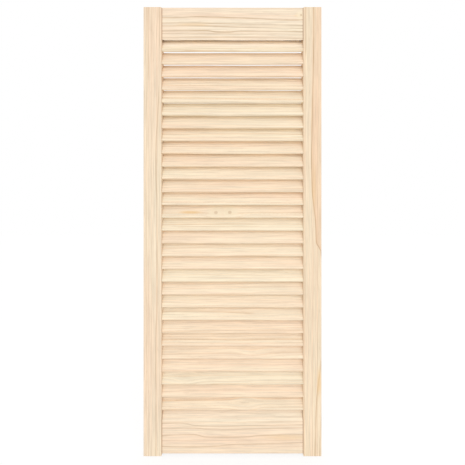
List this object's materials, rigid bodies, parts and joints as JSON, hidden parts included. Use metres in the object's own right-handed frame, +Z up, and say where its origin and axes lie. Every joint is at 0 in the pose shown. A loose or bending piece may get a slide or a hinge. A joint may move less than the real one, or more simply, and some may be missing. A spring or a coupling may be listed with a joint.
{
  "type": "louvred door leaf",
  "caption": "Narrow pine louvred door leaf: two stiles and two rails frame a run of fixed slanted slats that let air through and block the view.",
  "frame": {"origin": "middle of the left stile's outer edge face, where hinges would go, half way up the leaf", "axes": "+X across the leaf to the right seen from the front, +Y towards the back, +Z up"},
  "size_m": [0.394, 0.021, 0.993],
  "materials": {
    "stile_pine": "bare, sanded",
    "rail_pine": "bare, sanded",
    "slat_pine": "bare, sanded"
  },
  "bodies": {
    "root": {"left_stile": "stile_pine", "right_stile": "stile_pine", "top_rail": "rail_pine", "bottom_rail": "rail_pine", "slat_01": "slat_pine", "slat_02": "slat_pine", "slat_03": "slat_pine", "slat_04": "slat_pine", "slat_05": "slat_pine", "slat_06": "slat_pine", "slat_07": "slat_pine", "slat_08": "slat_pine", "slat_09": "slat_pine", "slat_10": "slat_pine", "slat_11": "slat_pine", "slat_12": "slat_pine", "slat_13": "slat_pine", "slat_14": "slat_pine", "slat_15": "slat_pine", "slat_16": "slat_pine", "slat_17": "slat_pine", "slat_18": "slat_pine", "slat_19": "slat_pine", "slat_20": "slat_pine", "slat_21": "slat_pine", "slat_22": "slat_pine", "slat_23": "slat_pine", "slat_24": "slat_pine", "slat_25": "slat_pine", "slat_26": "slat_pine", "slat_27": "slat_pine", "slat_28": "slat_pine", "slat_29": "slat_pine"}
  },
  "joints": []
}
